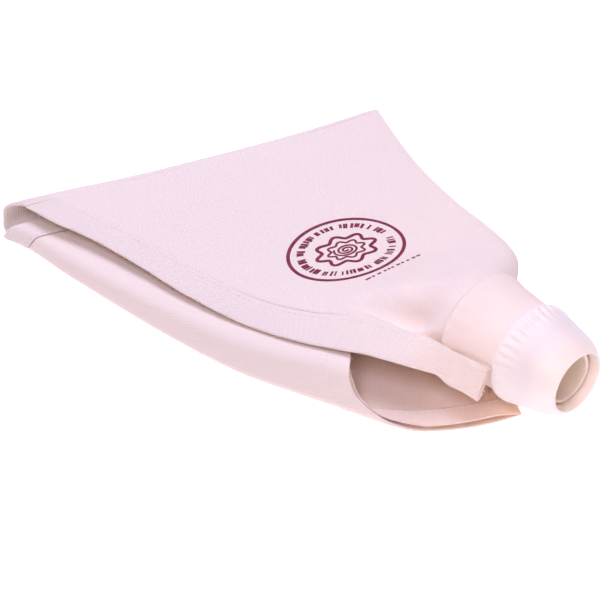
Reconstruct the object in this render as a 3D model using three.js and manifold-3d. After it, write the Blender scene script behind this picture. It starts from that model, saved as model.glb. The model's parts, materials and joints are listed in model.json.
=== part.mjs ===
// A cloth piping bag, folded flat for storage, with its two-piece plastic coupler in the neck.
// Millimetres, +Z up. +X runs along the bag's centre line, out of the coupler's nose.
import * as THREE from 'three';
import { mergeVertices } from 'three/addons/utils/BufferGeometryUtils.js';
import Module from 'manifold-3d';

const wasm = await Module();
wasm.setup();

// ---------------------------------------------------------------- driving dimensions
// The cone, laid flat, is a wedge. Its sides meet at a virtual apex ahead of the coupler.
const HALF_TAPER = THREE.MathUtils.degToRad(14.6);
const APEX_X = 119;
const APEX_TO_MOUTH = 470;
const WALL = 0.6;
const SLIT = 0.7;
const HALF_STACK = WALL + SLIT / 2;
const GAP = 0.4;

// The first fold turns the mouth half under the tip half, on a slanting line.
const FOLD_TO_APEX_SEAM = 349;
const FOLD_TO_APEX_PLAIN = 287;
const LOOP_R_SEAM = 6.2;
const LOOP_R_PLAIN = 3.4;
const FOLD_BOW = 1.7;

// The second fold rolls the corner that still sticks out back over the mouth half.
const ROLL_ANGLE = THREE.MathUtils.degToRad(7.6);
const ROLL_LENGTH = 180;
const ROLL_R_START = 2.8;
const ROLL_R_MOUTH = 7.6;
const ROLL_LEAN = THREE.MathUtils.degToRad(118);
const ROLL_BEND_LOW = 0.34;
const ROLL_BEND_TOP = 0.74;
const ROLL_BEND_LEAST = 1.4;
const LEAF_SHRINK = 0.93;
const LEAF_FALL = 70;

// The seam allowance is a flat two-layer strip outside the seam line.
const FELL_WIDTH = 12;
const FELL_HALF = 0.7;

// The coupler: its axis rises slightly towards the nose, and it sits a little off the centre line.
const COUPLER_X = -0.6;
const COUPLER_Y = -1;
const COUPLER_Z = 22.6;
const COUPLER_PITCH = THREE.MathUtils.degToRad(4);
const THREAD_PITCH = 4;
const THREAD_TURNS = 2.6;
const RING_R = 20;
const RING_RIB = 0.9;
const RING_RIBS = 36;
const RING_LENGTH = 25.5;
const ROUND_SEGMENTS = 48;

const CLOTH = { color: 0xf3e0ec, roughness: 0.85, metalness: 0 };
const CLOTH_INSIDE = { color: 0xe9d6d2, roughness: 0.9, metalness: 0 };
const THREAD = { color: 0xf7eef2, roughness: 0.8, metalness: 0 };
const PLASTIC = { color: 0xf5e9f8, roughness: 0.35, metalness: 0 };

// ---------------------------------------------------------------- small helpers
const lerp = THREE.MathUtils.lerp;
const smooth = THREE.MathUtils.smoothstep;
const vec2 = (x, y) => new THREE.Vector2(x, y);
const mix2 = (a, b, t) => vec2(lerp(a.x, b.x, t), lerp(a.y, b.y, t));
const fromAngle = (angle) => vec2(Math.cos(angle), Math.sin(angle));

function reflectAcross(direction, line) {
  return line.clone().multiplyScalar(2 * direction.dot(line)).sub(direction);
}

// The value at a position, in straight or eased steps through [position, value] stops.
function between(stops, at, ease) {
  if (at <= stops[0][0]) return stops[0][1];
  for (let i = 1; i < stops.length; i++) {
    const [x0, y0] = stops[i - 1];
    const [x1, y1] = stops[i];
    if (at <= x1) return lerp(y0, y1, ease ? smooth(at, x0, x1) : (at - x0) / (x1 - x0));
  }
  return stops[stops.length - 1][1];
}
const through = (stops, at) => between(stops, at, true);
const straight = (stops, at) => between(stops, at, false);

// ---------------------------------------------------------------- plan of the two folds
const apex = vec2(APEX_X, 0);
const towardsSeam = vec2(-Math.cos(HALF_TAPER), -Math.sin(HALF_TAPER));
const towardsPlain = vec2(-Math.cos(HALF_TAPER), Math.sin(HALF_TAPER));
const seamCorner = apex.clone().addScaledVector(towardsSeam, FOLD_TO_APEX_SEAM);
const plainCorner = apex.clone().addScaledVector(towardsPlain, FOLD_TO_APEX_PLAIN);
const foldAlong = plainCorner.clone().sub(seamCorner).normalize();
const foldInward = vec2(foldAlong.y, -foldAlong.x);
const mouthSeamCorner = seamCorner.clone()
  .addScaledVector(reflectAcross(towardsSeam, foldAlong), APEX_TO_MOUTH - FOLD_TO_APEX_SEAM);
const mouthPlainCorner = plainCorner.clone()
  .addScaledVector(reflectAcross(towardsPlain, foldAlong), APEX_TO_MOUTH - FOLD_TO_APEX_PLAIN);
const rimOutward = (() => {
  const along = mouthPlainCorner.clone().sub(mouthSeamCorner).normalize();
  return vec2(along.y, -along.x);
})();

const FOLD_WIDTH = seamCorner.distanceTo(plainCorner);
const loopRadius = (v) => lerp(LOOP_R_SEAM, LOOP_R_PLAIN, v);

// The middle of the fold line runs a little further inward than its ends.
const foldBow = (v) => FOLD_BOW * Math.sin(Math.PI * Math.pow(THREE.MathUtils.clamp(v, 0, 1), 1.25));

// Where the cloth leaves the fold's loop, v = 0 at the seam side and 1 at the plain side.
function foldStart(v) {
  return mix2(seamCorner, plainCorner, v).addScaledVector(foldInward, loopRadius(v) + foldBow(v));
}

// ---------------------------------------------------------------- closed shells from rings
function solidFrom(positions, triangles) {
  const volume = triangles.reduce((sum, [a, b, c]) => {
    const [p, q, r] = [positions[a], positions[b], positions[c]];
    return sum + p.dot(q.clone().cross(r));
  }, 0);
  const facing = volume > 0 ? triangles : triangles.map(([a, b, c]) => [a, c, b]);
  const geometry = new THREE.BufferGeometry();
  const flat = positions.flatMap((p) => [p.x, p.y, p.z]);
  geometry.setAttribute('position', new THREE.Float32BufferAttribute(flat, 3));
  geometry.setIndex(facing.flat());
  geometry.computeVertexNormals();
  return geometry;
}

function quad(triangles, a, b, c, d) {
  triangles.push([a, b, c], [a, c, d]);
}

// A tube wall between outer and inner rings, open at both ends. All rings have the same count.
function openTube(outer, inner) {
  const count = outer[0].length;
  const positions = [...outer.flat(), ...inner.flat()];
  const innerBase = outer.length * count;
  const triangles = [];
  for (let i = 0; i + 1 < outer.length; i++) {
    for (let j = 0; j < count; j++) {
      const k = (j + 1) % count;
      const [a, b] = [i * count, (i + 1) * count];
      quad(triangles, a + j, a + k, b + k, b + j);
      quad(triangles, innerBase + a + k, innerBase + a + j, innerBase + b + j, innerBase + b + k);
    }
  }
  for (const [ring, turned] of [[0, true], [outer.length - 1, false]]) {
    for (let j = 0; j < count; j++) {
      const k = (j + 1) % count;
      const at = ring * count;
      if (turned) quad(triangles, at + k, at + j, innerBase + at + j, innerBase + at + k);
      else quad(triangles, at + j, at + k, innerBase + at + k, innerBase + at + j);
    }
  }
  return solidFrom(positions, triangles);
}

// A solid bar through closed sections of equal count, with flat fan ends.
function solidBar(sections) {
  const count = sections[0].length;
  const positions = sections.flat();
  const triangles = [];
  for (let i = 0; i + 1 < sections.length; i++) {
    for (let j = 0; j < count; j++) {
      const k = (j + 1) % count;
      const [a, b] = [i * count, (i + 1) * count];
      quad(triangles, a + j, a + k, b + k, b + j);
    }
  }
  const last = (sections.length - 1) * count;
  for (let j = 1; j + 1 < count; j++) {
    triangles.push([0, j + 1, j], [last, last + j, last + j + 1]);
  }
  return solidFrom(positions, triangles);
}

// ---------------------------------------------------------------- the mouth half
// Flat point -> folded point. h is the height off the cloth's middle: positive is the outer face.
const rollOrigin = seamCorner;
const rollAlong = fromAngle(ROLL_ANGLE);
const rollInward = vec2(-rollAlong.y, rollAlong.x);
const rollRadius = (l) => {
  const share = THREE.MathUtils.clamp(l / ROLL_LENGTH, 0, 1.1);
  return lerp(ROLL_R_START, ROLL_R_MOUTH, Math.pow(share, 1.5));
};

// Where the cloth leaves the table to turn over the roll: distance along the roll, and inward.
const ROLL_LINE = [[0, -3.3], [14, -2], [71, -3], [110, -2.3], [134, -0.3], [161, 5.6], [193, 13], [240, 28]];
const rollLine = (l) => straight(ROLL_LINE, l);

// The cloth bends up from the table, leans inward, and bends level again.
function rollShape(l) {
  const r = rollRadius(l);
  const low = Math.max(ROLL_BEND_LOW * r, ROLL_BEND_LEAST);
  const top = ROLL_BEND_TOP * r;
  const [leanCos, leanSin] = [Math.cos(ROLL_LEAN), Math.sin(ROLL_LEAN)];
  const side = (2 * r - low * (1 - leanCos) - top * (1 + leanCos)) / leanSin;
  return { low, top, side, leanCos, leanSin };
}

// How high the middle leaf's cloth lies at an inward distance from the roll's centre line.
function leafHeight(l, inward) {
  const top = HALF_STACK + 2 * rollRadius(l);
  const low = 3 * HALF_STACK + GAP;
  return lerp(top, low, smooth(inward, 0, LEAF_FALL));
}

function foldedMouth(point, h) {
  const from = point.clone().sub(rollOrigin);
  const l = from.dot(rollAlong);
  const { low, top, side, leanCos, leanSin } = rollShape(l);
  const wrapped = rollLine(l) - from.dot(rollInward);
  const inLow = THREE.MathUtils.clamp(wrapped, 0, low * ROLL_LEAN);
  const inSide = THREE.MathUtils.clamp(wrapped - low * ROLL_LEAN, 0, side);
  const inTop = THREE.MathUtils.clamp(wrapped - low * ROLL_LEAN - side, 0, top * (Math.PI - ROLL_LEAN));
  const past = wrapped - low * ROLL_LEAN - side - top * (Math.PI - ROLL_LEAN);
  const beyond = Math.max(past, 0) * LEAF_SHRINK;
  const first = inLow / low;
  const last = ROLL_LEAN + inTop / top;
  const turn = first + inTop / top;
  const leant = top * (leanSin - Math.sin(last)) - low * Math.sin(first) - inSide * leanCos;
  const across = rollLine(l) + leant + beyond + Math.max(-wrapped, 0) - h * Math.sin(turn);
  const rise = low * (1 - Math.cos(first)) + inSide * leanSin + top * (leanCos - Math.cos(last));
  const fall = leafHeight(l, 0) - leafHeight(l, beyond);
  const plan = rollOrigin.clone().addScaledVector(rollAlong, l).addScaledVector(rollInward, across);
  return new THREE.Vector3(plan.x, plan.y, HALF_STACK + rise - fall - h * Math.cos(turn));
}

// How far the rim stands out from a straight line, across its width.
const RIM_BULGE = [[0, 0], [0.3, 5], [0.5, 9.5], [0.6, 11], [0.72, 5], [0.84, 8], [0.92, 7.2], [1, 2.4]];

// s = 0 at the first fold, 1 at the rim; v = 0 at the seam edge, 1 at the plain edge.
function mouthFlat(s, v) {
  const seamSide = mix2(foldStart(0), mouthSeamCorner, s);
  const plainSide = mix2(foldStart(1), mouthPlainCorner, s);
  return mix2(seamSide, plainSide, v)
    .addScaledVector(rimOutward, straight(RIM_BULGE, v) * s * s)
    .addScaledVector(foldInward, foldBow(v) * (1 - smooth(s, 0, 0.3)));
}

// Positions across a section, closest together where the cloth turns over the roll.
function acrossRoll(s, steps) {
  const turnOf = (v) => {
    const from = mouthFlat(s, v).sub(rollOrigin);
    const l = from.dot(rollAlong);
    const { low, top, side } = rollShape(l);
    return (rollLine(l) - from.dot(rollInward)) / (low * ROLL_LEAN + side + top * (Math.PI - ROLL_LEAN));
  };
  const weights = [];
  const fine = 200;
  for (let i = 0; i < fine; i++) {
    const turn = turnOf((i + 0.5) / fine);
    weights.push(turn > -0.15 && turn < 1.15 ? 7 : 1);
  }
  const total = weights.reduce((a, b) => a + b, 0);
  const places = [0];
  let sum = 0;
  let next = 1;
  for (let i = 0; i < fine; i++) {
    const share = weights[i] / total;
    while (next < steps && sum + share >= next / steps) {
      places.push((i + (next / steps - sum) / share) / fine);
      next += 1;
    }
    sum += share;
  }
  places.push(1);
  return places;
}

function mouthRing(s, half, inset, steps, from, to) {
  const width = mouthFlat(s, 0).distanceTo(mouthFlat(s, 1));
  const places = acrossRoll(s, steps).map((v) => lerp(from(width) + inset / width, to(width) - inset / width, v));
  const outside = places.map((v) => foldedMouth(mouthFlat(s, v), half));
  const inside = places.map((v) => foldedMouth(mouthFlat(s, v), -half)).reverse();
  return [...outside, ...inside];
}

function mouthCloth() {
  const stations = [0, 0.07, 0.15, 0.26, 0.4, 0.55, 0.7, 0.85, 1];
  const steps = 16;
  const seamLine = (width) => FELL_WIDTH / width;
  const plainEdge = () => 1;
  const start = 0.004;
  const outer = stations.map((s) => mouthRing(lerp(start, 1, s), HALF_STACK, 0, steps, seamLine, plainEdge));
  const inner = stations.map((s) => mouthRing(lerp(start, 1, s), SLIT / 2, WALL, steps, seamLine, plainEdge));
  return openTube(outer, inner);
}

function mouthFell() {
  const stations = [0.02, 0.08, 0.15, 0.25, 0.4, 0.55, 0.7, 0.85, 1];
  return solidBar(stations.map((s) => {
    const width = mouthFlat(s, 0).distanceTo(mouthFlat(s, 1));
    const places = [0, 0.33, 0.66, 1].map((t) => t * (FELL_WIDTH - 4 * GAP) / width);
    return [
      ...places.map((v) => foldedMouth(mouthFlat(s, v), FELL_HALF)),
      ...places.map((v) => foldedMouth(mouthFlat(s, v), -FELL_HALF)).reverse(),
    ];
  }));
}

// ---------------------------------------------------------------- the fold between the halves
function foldWeb() {
  const turns = [-90, -60, -30, 0, 30, 60, 90].map(THREE.MathUtils.degToRad);
  const places = [0, 0.2, 0.4, 0.6, 0.8, 1];
  const ring = (turn, half, inset) => {
    const point = (v, h) => {
      const r = loopRadius(v);
      const out = (r + h) * Math.cos(turn) - GAP / 2;
      const plan = foldStart(v).addScaledVector(foldInward, -out - GAP);
      return new THREE.Vector3(plan.x, plan.y, HALF_STACK + r + (r + h) * Math.sin(turn));
    };
    const seamInset = (FELL_WIDTH + inset) / FOLD_WIDTH;
    const ends = places.map((v) => lerp(seamInset, 1 - inset / FOLD_WIDTH, v));
    return [...ends.map((v) => point(v, half)), ...ends.map((v) => point(v, -half)).reverse()];
  };
  return openTube(turns.map((t) => ring(t, HALF_STACK, 0)), turns.map((t) => ring(t, SLIT / 2, WALL)));
}

// ---------------------------------------------------------------- the tip half
const NECK_BACK_X = -31;
const NECK_CREASE_X = -27;
const NECK_END_X = -0.6;
const couplerZ = (x) => COUPLER_Z + x * Math.tan(COUPLER_PITCH);

// Heights of the two edges and the depth of cloth above and below them, along t = 0 to 1.
const SEAM_EDGE_Z = [[0, 13.4], [0.45, 15.6], [0.75, 22.2], [1, 22]];
const PLAIN_EDGE_Z = [[0, 7.8], [0.3, 5.2], [0.6, 6.4], [0.85, 12], [1, 19]];
const CLOTH_ABOVE = [[0, HALF_STACK], [0.3, 2.4], [0.6, 7], [0.86, 13.5], [1, 20]];
const CLOTH_BELOW = [[0, HALF_STACK], [0.55, HALF_STACK], [0.8, 3.5], [1, 17]];
const RING_FLATNESS = [[0, 0.3], [0.6, 0.55], [1, 1]];

// The tube's seam side runs along the seam line, one strip's width inside the flat edge.
const seamInward = vec2(towardsSeam.y, -towardsSeam.x);
const FELL_SHARE = 0.0858;
const SEAM_REACH = 0.535;
const PLAIN_REACH = 0.44;
const NECK_SEAM_SIDE = vec2(COUPLER_X + NECK_BACK_X, COUPLER_Y - 22);
const NECK_PLAIN_SIDE = vec2(COUPLER_X + NECK_BACK_X, COUPLER_Y + 23);

function tipEnds(t) {
  const start = (v) => foldStart(v).addScaledVector(foldInward, GAP);
  const seamFar = mix2(start(0), apex, SEAM_REACH).addScaledVector(seamInward, FELL_WIDTH);
  const plainFar = mix2(start(1), apex, PLAIN_REACH);
  const closing = smooth(t, 0.84, 1);
  return [
    mix2(mix2(start(FELL_SHARE), seamFar, t), NECK_SEAM_SIDE, closing),
    mix2(mix2(start(1), plainFar, t), NECK_PLAIN_SIDE, closing),
  ];
}

// The cloth off the fold line follows its bow, which fades out further along.
const tipBow = (t, share) => {
  const straightened = lerp(foldBow(FELL_SHARE), 0, share);
  return (foldBow(lerp(FELL_SHARE, 1, share)) - straightened) * (1 - smooth(t, 0, 0.4));
};

function tipRing(t, inset, count) {
  const [seamEnd, plainEnd] = tipEnds(t);
  const seamZ = through(SEAM_EDGE_Z, t);
  const plainZ = through(PLAIN_EDGE_Z, t);
  const above = through(CLOTH_ABOVE, t) - inset;
  const below = through(CLOTH_BELOW, t) - inset;
  const power = through(RING_FLATNESS, t);
  const width = seamEnd.distanceTo(plainEnd);
  const ring = [];
  for (let j = 0; j < count; j++) {
    const turn = (j / count) * 2 * Math.PI;
    const v = (1 - Math.cos(turn)) / 2;
    const share = lerp(inset / width, 1 - inset / width, v);
    const plan = mix2(seamEnd, plainEnd, share).addScaledVector(foldInward, tipBow(t, share));
    const side = Math.sin(turn);
    const lift = Math.sign(side) * Math.pow(Math.abs(side), power) * (side > 0 ? above : below);
    ring.push(new THREE.Vector3(plan.x, plan.y, lerp(seamZ, plainZ, share) + lift));
  }
  return ring;
}

function neckRing(x, across, up, inset, count) {
  const ring = [];
  for (let j = 0; j < count; j++) {
    const turn = (j / count) * 2 * Math.PI;
    const y = -Math.cos(turn) * (across - inset);
    const rise = Math.sin(turn) * (up - inset);
    ring.push(new THREE.Vector3(
      COUPLER_X + x - rise * Math.sin(COUPLER_PITCH),
      COUPLER_Y + y,
      couplerZ(x) + rise * Math.cos(COUPLER_PITCH),
    ));
  }
  return ring;
}

function tipCloth() {
  const count = 32;
  const flatPart = [0, 0.12, 0.28, 0.44, 0.58, 0.7, 0.8, 0.88, 0.94, 1];
  const neckPart = [
    [NECK_CREASE_X, 21.4, 18.4],
    [NECK_CREASE_X + 3, 20.6, 18.6],
    [NECK_CREASE_X / 2, 19.8, 18.7],
    [NECK_END_X, 19, 18.4],
  ];
  const rings = (inset) => [
    ...flatPart.map((t) => tipRing(t, inset, count)),
    ...neckPart.map(([x, across, up]) => neckRing(x, across, up, inset, count)),
  ];
  return openTube(rings(0), rings(WALL));
}

// The seam allowance strip: flat along the tip half, then standing off the neck and hanging down.
const FELL_STOPS = [0.02, 0.15, 0.3, 0.45, 0.6, 0.7, 0.8, 0.88];
const FELL_NECK = [
  { inner: [-30, -24.2, 22.4], outer: [-31, -33.5, 18.2] },
  { inner: [-18, -22.8, 22.8], outer: [-19, -29, 14.7] },
  { inner: [-3, -21.6, 23.2], outer: [-5, -25, 11.7] },
];

function tipFell() {
  const sections = FELL_STOPS.map((t) => {
    const [seamEnd] = tipEnds(t);
    const z = through(SEAM_EDGE_Z, t);
    const near = seamEnd.clone().addScaledVector(seamInward, -GAP);
    const far = seamEnd.clone().addScaledVector(seamInward, -FELL_WIDTH);
    return [
      new THREE.Vector3(near.x, near.y, z - FELL_HALF),
      new THREE.Vector3(far.x, far.y, z - FELL_HALF),
      new THREE.Vector3(far.x, far.y, z + FELL_HALF),
      new THREE.Vector3(near.x, near.y, z + FELL_HALF),
    ];
  });
  for (const { inner, outer } of FELL_NECK) {
    const [near, far] = [new THREE.Vector3(...inner), new THREE.Vector3(...outer)];
    const face = far.clone().sub(near).cross(new THREE.Vector3(1, 0, 0)).normalize();
    const lift = face.multiplyScalar(face.z > 0 ? FELL_HALF : -FELL_HALF);
    sections.push([
      near.clone().sub(lift),
      far.clone().sub(lift),
      far.clone().add(lift),
      near.clone().add(lift),
    ]);
  }
  return solidBar(sections);
}

// ---------------------------------------------------------------- sewing thread
const THREAD_R = 0.35;
const HEM_STATION = 0.955;
const TIP_THREAD_SHARE = 0.035;

function threadAlong(points) {
  const path = new THREE.CatmullRomCurve3(points);
  const section = new THREE.Shape().absarc(0, 0, THREAD_R, 0, 2 * Math.PI, false);
  const geometry = new THREE.ExtrudeGeometry(section, {
    steps: points.length * 3,
    curveSegments: 3,
    extrudePath: path,
  });
  return geometry;
}

function tipThread() {
  const lift = 2 * THREAD_R + GAP;
  const stops = [0.03, 0.15, 0.3, 0.45, 0.6, 0.72, 0.8];
  return threadAlong(stops.map((t) => {
    const [seamEnd, plainEnd] = tipEnds(t);
    const at = mix2(seamEnd, plainEnd, TIP_THREAD_SHARE);
    const round = Math.sin(Math.acos(1 - 2 * TIP_THREAD_SHARE));
    const above = through(CLOTH_ABOVE, t) * Math.pow(round, through(RING_FLATNESS, t));
    return new THREE.Vector3(at.x, at.y, through(SEAM_EDGE_Z, t) + above + lift);
  }));
}

function mouthThread() {
  const stops = [0.2, 0.32, 0.45, 0.6, 0.75, 0.88, 0.97];
  return threadAlong(stops.map((s) => {
    const width = mouthFlat(s, 0).distanceTo(mouthFlat(s, 1));
    return foldedMouth(mouthFlat(s, (FELL_WIDTH + 1.5) / width), HALF_STACK + THREAD_R + 2 * GAP);
  }));
}

function hemThread() {
  const places = acrossRoll(HEM_STATION, 16).filter((v) => v > 0.2 && v < 0.98);
  const lift = HALF_STACK + THREAD_R + 3 * GAP;
  return threadAlong(places.map((v) => foldedMouth(mouthFlat(HEM_STATION, v), -lift)));
}

// ---------------------------------------------------------------- the coupler
function toSolid(geometry) {
  const bare = geometry.index ? geometry : geometry.clone();
  bare.deleteAttribute('normal');
  if (bare.attributes.uv) bare.deleteAttribute('uv');
  const merged = mergeVertices(bare, 1e-4);
  return new wasm.Manifold(new wasm.Mesh({
    numProp: 3,
    vertProperties: Float32Array.from(merged.attributes.position.array),
    triVerts: Uint32Array.from(merged.index.array),
  }));
}

function toGeometry(solid) {
  const mesh = solid.getMesh();
  const geometry = new THREE.BufferGeometry();
  geometry.setAttribute('position', new THREE.Float32BufferAttribute(mesh.vertProperties, 3));
  geometry.setIndex(Array.from(mesh.triVerts));
  geometry.computeVertexNormals();
  return geometry;
}

// Turns an [along, radius] profile about +X.
function turned(profile, segments = ROUND_SEGMENTS) {
  const geometry = new THREE.LatheGeometry(profile.map(([along, r]) => vec2(r, along)), segments);
  return geometry.rotateZ(-Math.PI / 2);
}

// A helical ridge about +X, from radius root to radius crest, starting at a given place.
function helicalRidge(start, root, crest, foot, top) {
  const steps = Math.round(THREAD_TURNS * 32);
  const sections = [];
  for (let i = 0; i <= steps; i++) {
    const turn = (i / 32) * 2 * Math.PI;
    const along = start + (i / 32) * THREAD_PITCH;
    const at = (offset, r) => new THREE.Vector3(along + offset, r * Math.cos(turn), r * Math.sin(turn));
    sections.push([at(-foot / 2, root), at(-top / 2, crest), at(top / 2, crest), at(foot / 2, root)]);
  }
  return solidBar(sections);
}

const BASE_BACK = -21;
const BASE_BACK_R = 17.8;
const BASE_NECK_R = 16.9;
const BASE_THREAD_R = 15;
const BASE_THREAD_END = 14;
const BASE_NOSE_R = 10.7;
const BASE_NOSE_END = 21.5;
const BASE_BORE_R = 9.2;

function couplerBase() {
  const profile = [
    [BASE_BACK, 16.2],
    [BASE_BACK, BASE_BACK_R],
    [BASE_BACK + 2, BASE_BACK_R],
    [-1.5, BASE_NECK_R],
    [-0.5, BASE_THREAD_R],
    [BASE_THREAD_END, BASE_THREAD_R],
    [BASE_THREAD_END + 1, BASE_NOSE_R + 2],
    [BASE_THREAD_END + 3, BASE_NOSE_R],
    [BASE_NOSE_END, BASE_NOSE_R],
    [BASE_NOSE_END, BASE_BORE_R],
    [BASE_THREAD_END, BASE_BORE_R],
    [6, 12.6],
    [-2, 14.8],
    [BASE_BACK, 16.2],
  ];
  const ridge = helicalRidge(1.6, BASE_THREAD_R - 0.4, BASE_THREAD_R + 1.2, 2, 0.9);
  return toGeometry(toSolid(turned(profile)).add(toSolid(ridge)));
}

// The grip: a toothed outline behind, a smooth dome in front, open at the nose.
function ribbedGrip(from, to) {
  const outline = [];
  for (let i = 0; i < RING_RIBS; i++) {
    for (const [share, lift] of [[0, 0], [0.4, RING_RIB], [0.6, RING_RIB]]) {
      const r = RING_R - 0.75 + lift;
      outline.push(fromAngle(((i + share) / RING_RIBS) * 2 * Math.PI).multiplyScalar(r));
    }
  }
  const shape = new THREE.Shape(outline);
  shape.holes.push(new THREE.Path().absarc(0, 0, RING_R - 1.6, 0, 2 * Math.PI, true));
  const geometry = new THREE.ExtrudeGeometry(shape, { depth: to - from, bevelEnabled: false, curveSegments: 24 });
  return geometry.rotateY(Math.PI / 2).translate(from, 0, 0);
}

function couplerRing() {
  const rear = 0.4;
  const threadWall = BASE_THREAD_R + 1.7;
  const profile = [
    [rear, threadWall],
    [rear, RING_R],
    [rear + 1.2, RING_R + 0.2],
    [rear + 1.4, RING_R - 0.7],
    [9.5, RING_R - 1.3],
    [12, RING_R - 1.9],
    [15.5, RING_R - 2.6],
    [18.5, RING_R - 3.3],
    [21, RING_R - 4.3],
    [23, RING_R - 5.5],
    [RING_LENGTH - 0.7, RING_R - 6.8],
    [RING_LENGTH, RING_R - 7.7],
    [RING_LENGTH - 0.3, 11.75],
    [RING_LENGTH - 5, 11.4],
    [BASE_THREAD_END + 2.2, 14.2],
    [BASE_THREAD_END - 0.8, threadWall],
    [rear, threadWall],
  ];
  const ridge = helicalRidge(3.6, threadWall + 0.3, BASE_THREAD_R + 0.7, 1.9, 0.8);
  return toGeometry(toSolid(turned(profile)).add(toSolid(ribbedGrip(rear + 1.3, rear + 6))).add(toSolid(ridge)));
}

// ---------------------------------------------------------------- assembly
const part = new THREE.Group();

function piece(name, geometry, look, parent = part) {
  const mesh = new THREE.Mesh(geometry, new THREE.MeshStandardMaterial({ ...look, name }));
  mesh.name = name;
  parent.add(mesh);
  return mesh;
}

piece('mouth_half_cloth', mouthCloth(), CLOTH_INSIDE);
piece('mouth_seam_fell', mouthFell(), CLOTH);
piece('fold_web_cloth', foldWeb(), CLOTH);
piece('tip_half_cloth', tipCloth(), CLOTH);
piece('tip_seam_fell', tipFell(), CLOTH);
piece('tip_seam_thread', tipThread(), THREAD);
piece('mouth_seam_thread', mouthThread(), THREAD);
piece('mouth_hem_thread', hemThread(), THREAD);

const coupler = new THREE.Group();
coupler.position.set(COUPLER_X, COUPLER_Y, COUPLER_Z);
coupler.rotation.y = -COUPLER_PITCH;
piece('coupler_base', couplerBase(), PLASTIC, coupler);
piece('coupler_ring', couplerRing(), PLASTIC, coupler);
part.add(coupler);

// The origin is the middle of the footprint, on the surface that the bag lies on.
part.updateMatrixWorld(true);
const extent = new THREE.Box3().setFromObject(part);
const middle = extent.getCenter(new THREE.Vector3());
part.position.set(-middle.x, -middle.y, -extent.min.z);

export default part;
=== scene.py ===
# A cloth piping bag folded flat around its two-piece coupler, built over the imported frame.
import json
import math
import random

import bmesh
import bpy
import numpy as np
from mathutils import Matrix, Vector
from mathutils.bvhtree import BVHTree


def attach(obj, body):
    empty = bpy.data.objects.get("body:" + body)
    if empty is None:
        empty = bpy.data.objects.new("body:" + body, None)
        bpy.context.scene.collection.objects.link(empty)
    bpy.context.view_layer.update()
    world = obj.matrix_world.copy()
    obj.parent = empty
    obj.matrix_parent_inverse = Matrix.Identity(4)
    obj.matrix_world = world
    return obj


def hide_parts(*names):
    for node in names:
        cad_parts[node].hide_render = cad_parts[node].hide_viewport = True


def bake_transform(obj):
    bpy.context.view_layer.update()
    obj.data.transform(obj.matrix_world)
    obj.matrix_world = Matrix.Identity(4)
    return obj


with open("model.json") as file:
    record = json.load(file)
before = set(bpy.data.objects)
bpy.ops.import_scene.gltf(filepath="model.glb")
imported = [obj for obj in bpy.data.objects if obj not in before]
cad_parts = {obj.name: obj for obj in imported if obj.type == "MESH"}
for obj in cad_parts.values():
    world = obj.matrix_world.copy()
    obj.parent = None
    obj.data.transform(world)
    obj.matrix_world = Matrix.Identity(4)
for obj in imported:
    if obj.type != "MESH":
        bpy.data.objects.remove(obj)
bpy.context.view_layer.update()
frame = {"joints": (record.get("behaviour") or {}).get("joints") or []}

# All shapes are worked out in millimetres: +X runs along the bag's centre line, towards the
# coupler, and +Z is up from the table. The coupler sits a little off the centre line.
MM = 0.001
COUPLER_X = -0.6
COUPLER_Y = -1.0
ring_joint = next(j for j in frame["joints"] if j["name"] == "ring_turn")
joint_x, joint_y, COUPLER_Z = np.array(ring_joint["pos_m"]) / MM
SHIFT = np.array([joint_x - COUPLER_X, joint_y - COUPLER_Y, 0.0])
PITCH = math.atan2(ring_joint["axis"][2], ring_joint["axis"][0])

# -------- driving dimensions
HALF_TAPER = math.radians(14.6)
APEX_X = 119.0
APEX_TO_MOUTH = 470.0
WALL = 0.6
HALF_STACK = 0.95
# The storage fold crosses the flat cone at a slant, and its loop is thicker at the seam.
FOLD_TO_APEX_SEAM = 349.0
FOLD_TO_APEX_PLAIN = 287.0
LOOP_R_SEAM = 6.2
LOOP_R_PLAIN = 3.4
FOLD_BOW = 2.6
FOLD_STEP = 2.0
# The mouth half is rolled over along its front: bent up, leant inward, then bent level.
ROLL_ANGLE = math.radians(7.6)
ROLL_LENGTH = 180.0
ROLL_R_START = 2.8
ROLL_R_MOUTH = 7.6
ROLL_LEAN = math.radians(118)
ROLL_BEND_LOW = 0.34
ROLL_BEND_TOP = 0.74
ROLL_BEND_LEAST = 1.4
LEAF_SHRINK = 0.93
LEAF_FALL = 44
LEAF_GAP = 0.4
# The two-layer strip outside the seam.
FELL_WIDTH = 12.0
FELL_HALF = 0.62
FELL_SLOT = 0.12
FELL_SLOT_END = 0.6
FELL_GAP = 0.15


# -------- small helpers
def lerp(a, b, t):
    return a + (b - a) * t


def smooth(x, low, high):
    t = np.clip((np.asarray(x, float) - low) / (high - low), 0.0, 1.0)
    return t * t * (3 - 2 * t)


def bump(x, low, top, high):
    """Rises from 0 at low to 1 at top, and falls back to 0 at high."""
    return smooth(x, low, top) * (1 - smooth(x, top, high))


def unit(v):
    v = np.asarray(v, float)
    return v / np.linalg.norm(v, axis=-1, keepdims=True)


def curve(stops, at):
    """A smooth curve through rows of [position, value, ...], for an array of positions."""
    stops = np.asarray(stops, float)
    t, values = stops[:, 0], stops[:, 1:]
    slopes = np.gradient(values, t, axis=0)
    at = np.clip(np.asarray(at, float), t[0], t[-1])
    i = np.clip(np.searchsorted(t, at, side="right") - 1, 0, len(t) - 2)
    h = (t[i + 1] - t[i])[..., None]
    u = (at - t[i])[..., None] / h
    start = (1 + 2 * u) * (1 - u) ** 2 * values[i] + u * (1 - u) ** 2 * h * slopes[i]
    end = u * u * (3 - 2 * u) * values[i + 1] + u * u * (u - 1) * h * slopes[i + 1]
    return start + end


def to_scene(points):
    """Local millimetres to the scene's metres."""
    return (np.asarray(points, float) + SHIFT) * MM


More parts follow.
